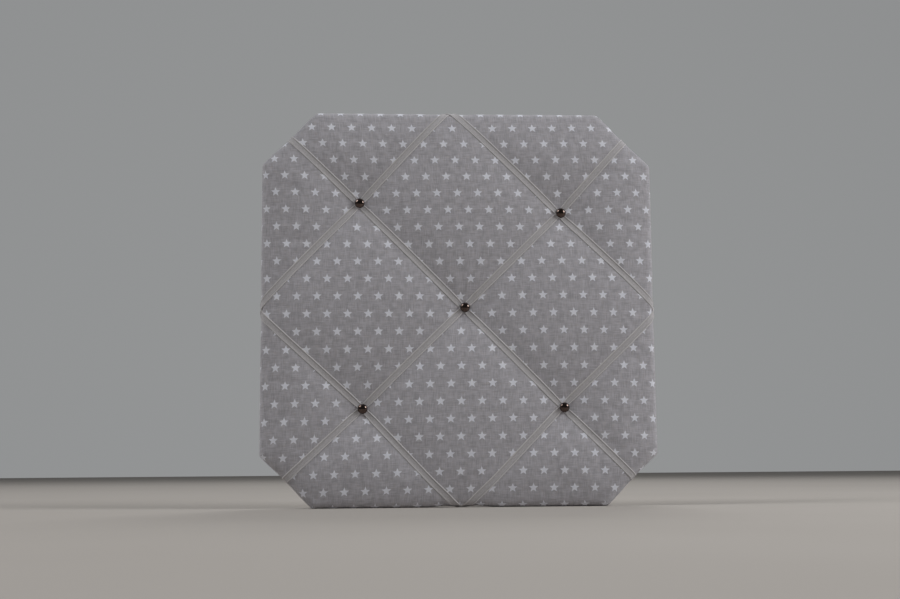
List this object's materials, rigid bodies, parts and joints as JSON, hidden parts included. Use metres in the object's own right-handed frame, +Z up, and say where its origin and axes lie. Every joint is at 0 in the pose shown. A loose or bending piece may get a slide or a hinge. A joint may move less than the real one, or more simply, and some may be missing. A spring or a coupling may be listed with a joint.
{
  "type": "memo board",
  "caption": "Padded square memo board with cut-off corners, covered in star-print cotton, with crossed ribbons held by dome tacks and swinging D-rings on the back for hanging.",
  "frame": {"origin": "on the surface that the board stands on, under the middle of its overall width and depth", "axes": "+X to the right as seen from the front, +Y from the padded front to the stapled back, +Z up"},
  "size_m": [0.4, 0.0318, 0.4],
  "materials": {
    "printed_cotton": "matt woven cotton, warm grey, with a staggered print of small white stars",
    "wadding": "white polyester wadding",
    "ribbon": "matt beige grosgrain ribbon with paler edges",
    "fibreboard": "bare pressed fibreboard",
    "bronzed_tack": "polished antique bronze",
    "plated_steel": "nickel plated",
    "staple_wire": "bright galvanised wire"
  },
  "bodies": {
    "board": {"backing_board": "fibreboard", "wadding": "wadding", "fabric_cover": "printed_cotton", "ribbon_long_falling": "ribbon", "ribbon_long_rising": "ribbon", "ribbon_short_upper_right": "ribbon", "ribbon_short_upper_left": "ribbon", "ribbon_short_lower_left": "ribbon", "ribbon_short_lower_right": "ribbon", "tack_centre": "bronzed_tack", "tack_upper_right": "bronzed_tack", "tack_upper_left": "bronzed_tack", "tack_lower_left": "bronzed_tack", "tack_lower_right": "bronzed_tack", "hanger_strap_left": "plated_steel", "hanger_strap_right": "plated_steel", "hanger_screw_left": "plated_steel", "hanger_screw_right": "plated_steel", "hem_staple_01": "staple_wire", "hem_staple_02": "staple_wire", "hem_staple_03": "staple_wire", "hem_staple_04": "staple_wire", "hem_staple_05": "staple_wire", "hem_staple_06": "staple_wire", "hem_staple_07": "staple_wire", "hem_staple_08": "staple_wire", "hem_staple_09": "staple_wire", "hem_staple_10": "staple_wire", "hem_staple_11": "staple_wire", "hem_staple_12": "staple_wire", "hem_staple_13": "staple_wire", "hem_staple_14": "staple_wire", "hem_staple_15": "staple_wire", "hem_staple_16": "staple_wire", "hem_staple_17": "staple_wire", "hem_staple_18": "staple_wire", "hem_staple_19": "staple_wire", "hem_staple_20": "staple_wire", "hem_staple_21": "staple_wire", "hem_staple_22": "staple_wire", "hem_staple_23": "staple_wire", "hem_staple_24": "staple_wire", "ribbon_staple_01": "staple_wire", "ribbon_staple_02": "staple_wire", "ribbon_staple_03": "staple_wire", "ribbon_staple_04": "staple_wire", "ribbon_staple_05": "staple_wire", "ribbon_staple_06": "staple_wire", "ribbon_staple_07": "staple_wire", "ribbon_staple_08": "staple_wire", "ribbon_staple_09": "staple_wire", "ribbon_staple_10": "staple_wire", "ribbon_staple_11": "staple_wire", "ribbon_staple_12": "staple_wire"},
    "left_ring": {"hanger_ring_left": "plated_steel"},
    "right_ring": {"hanger_ring_right": "plated_steel"}
  },
  "joints": [
    {"name": "left_ring_swing", "type": "hinge", "parent": "board", "child": "left_ring", "pos_m": [-0.125, 0.0135, 0.33], "axis": [1, 0, 0], "range_deg": [0, 180]},
    {"name": "right_ring_swing", "type": "hinge", "parent": "board", "child": "right_ring", "pos_m": [0.125, 0.0135, 0.33], "axis": [1, 0, 0], "range_deg": [0, 180]}
  ]
}
